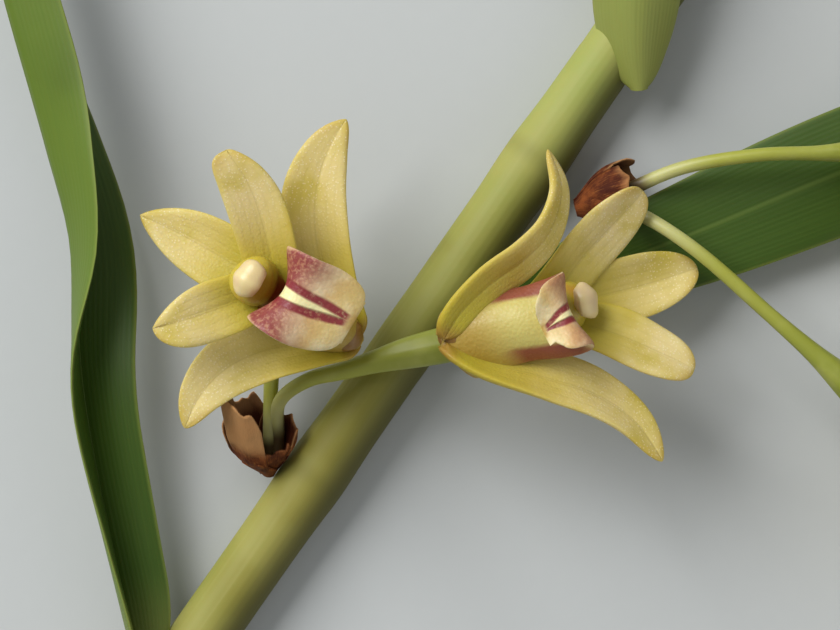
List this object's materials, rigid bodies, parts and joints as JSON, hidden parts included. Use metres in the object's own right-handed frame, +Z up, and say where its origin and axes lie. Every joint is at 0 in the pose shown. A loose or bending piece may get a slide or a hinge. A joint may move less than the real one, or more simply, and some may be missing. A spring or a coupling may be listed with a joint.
{
  "type": "dendrobium salaccense stem",
  "caption": "Leafy orchid cane with brown papery bracts and small yellow blooms with maroon-marked lips, cut and lying on its side.",
  "frame": {"origin": "on the surface the stem lies on, under the cane's middle line, midway between the two flower clusters", "axes": "+X along the cane toward its leafy tip, +Y to its left as seen from above, +Z up from the surface"},
  "size_m": [0.1726, 0.1197, 0.0138],
  "materials": {
    "cane": "waxy yellow-green sheathed cane with fine lengthwise ribs",
    "leaf": "semi-gloss leathery dark green with fine parallel veins",
    "bract": "dry papery red-brown with torn pale rims",
    "pedicel": "smooth waxy yellow-green",
    "tepal": "fleshy translucent yellow with a fine sparkling grain",
    "lip": "waxy cream with maroon stripes and speckle",
    "column": "waxy olive yellow",
    "anther_cap": "waxy cream"
  },
  "bodies": {
    "root": {"cane": "cane", "left_bracts": "bract", "right_bracts": "bract", "leaf_low": "leaf", "leaf_a": "leaf", "leaf_b": "leaf", "leaf_c": "leaf", "leaf_d": "leaf", "leaf_e": "leaf", "leaf_tip": "leaf", "bloom_1_pedicel": "pedicel", "bloom_1_dorsal_sepal": "tepal", "bloom_1_petal_left": "tepal", "bloom_1_petal_right": "tepal", "bloom_1_lateral_sepal_left": "tepal", "bloom_1_lateral_sepal_right": "tepal", "bloom_1_lip": "lip", "bloom_1_column": "column", "bloom_1_anther_cap": "anther_cap", "bloom_2_pedicel": "pedicel", "bloom_2_dorsal_sepal": "tepal", "bloom_2_petal_left": "tepal", "bloom_2_petal_right": "tepal", "bloom_2_lateral_sepal_left": "tepal", "bloom_2_lateral_sepal_right": "tepal", "bloom_2_lip": "lip", "bloom_2_column": "column", "bloom_2_anther_cap": "anther_cap", "bloom_3_pedicel": "pedicel", "bloom_3_dorsal_sepal": "tepal", "bloom_3_petal_left": "tepal", "bloom_3_petal_right": "tepal", "bloom_3_lateral_sepal_left": "tepal", "bloom_3_lateral_sepal_right": "tepal", "bloom_3_lip": "lip", "bloom_3_column": "column", "bloom_3_anther_cap": "anther_cap", "bloom_4_pedicel": "pedicel", "bloom_4_dorsal_sepal": "tepal", "bloom_4_petal_left": "tepal", "bloom_4_petal_right": "tepal", "bloom_4_lateral_sepal_left": "tepal", "bloom_4_lateral_sepal_right": "tepal", "bloom_4_lip": "lip", "bloom_4_column": "column", "bloom_4_anther_cap": "anther_cap"}
  },
  "joints": []
}
